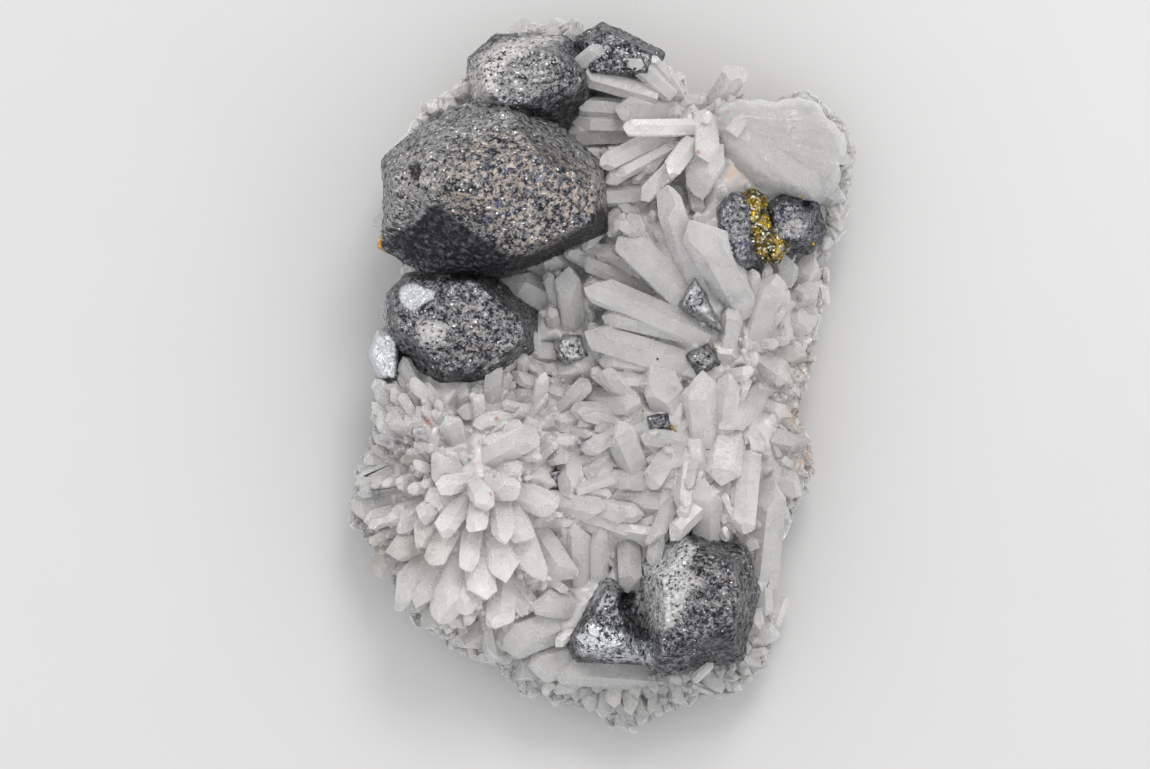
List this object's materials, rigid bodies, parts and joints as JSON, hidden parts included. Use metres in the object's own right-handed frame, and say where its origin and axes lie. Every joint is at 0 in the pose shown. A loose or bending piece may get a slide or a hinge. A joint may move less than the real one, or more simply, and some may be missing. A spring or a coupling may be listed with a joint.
{
  "type": "galena specimen",
  "caption": "Mineral hand specimen with rounded galena crystals seated among sprays of milky quartz crystals, a brassy chalcopyrite crust and a flat cut back to rest on.",
  "frame": {"origin": "point on the flat cut back, near the middle of the specimen's plan", "axes": "+Z out of the flat back towards the show side, +Y along the specimen's length to the end with the large galena crystal, +X to the right when the show side is seen with +Y up"},
  "size_m": [0.0846, 0.1204, 0.0419],
  "materials": {
    "quartz": "milky, faintly see-through quartz crystals with glassy faces and a sugary, finely crystallised edge",
    "galena": "lead-grey metallic mineral, finely granular with bright silvery cleavage glints and a faint bronze tarnish",
    "chalcopyrite": "brassy yellow crust of tiny metallic crystals, tarnished olive"
  },
  "bodies": {
    "root": {"quartz_matrix": "quartz", "galena_large": "galena", "galena_top": "galena", "galena_upper": "galena", "galena_middle": "galena", "galena_left_edge": "galena", "galena_right": "galena", "galena_triangle": "galena", "galena_small_centre": "galena", "galena_small_right": "galena", "galena_bottom": "galena", "galena_grain_centre": "galena", "galena_grain_right": "galena", "chalcopyrite_crust": "chalcopyrite"}
  },
  "joints": []
}
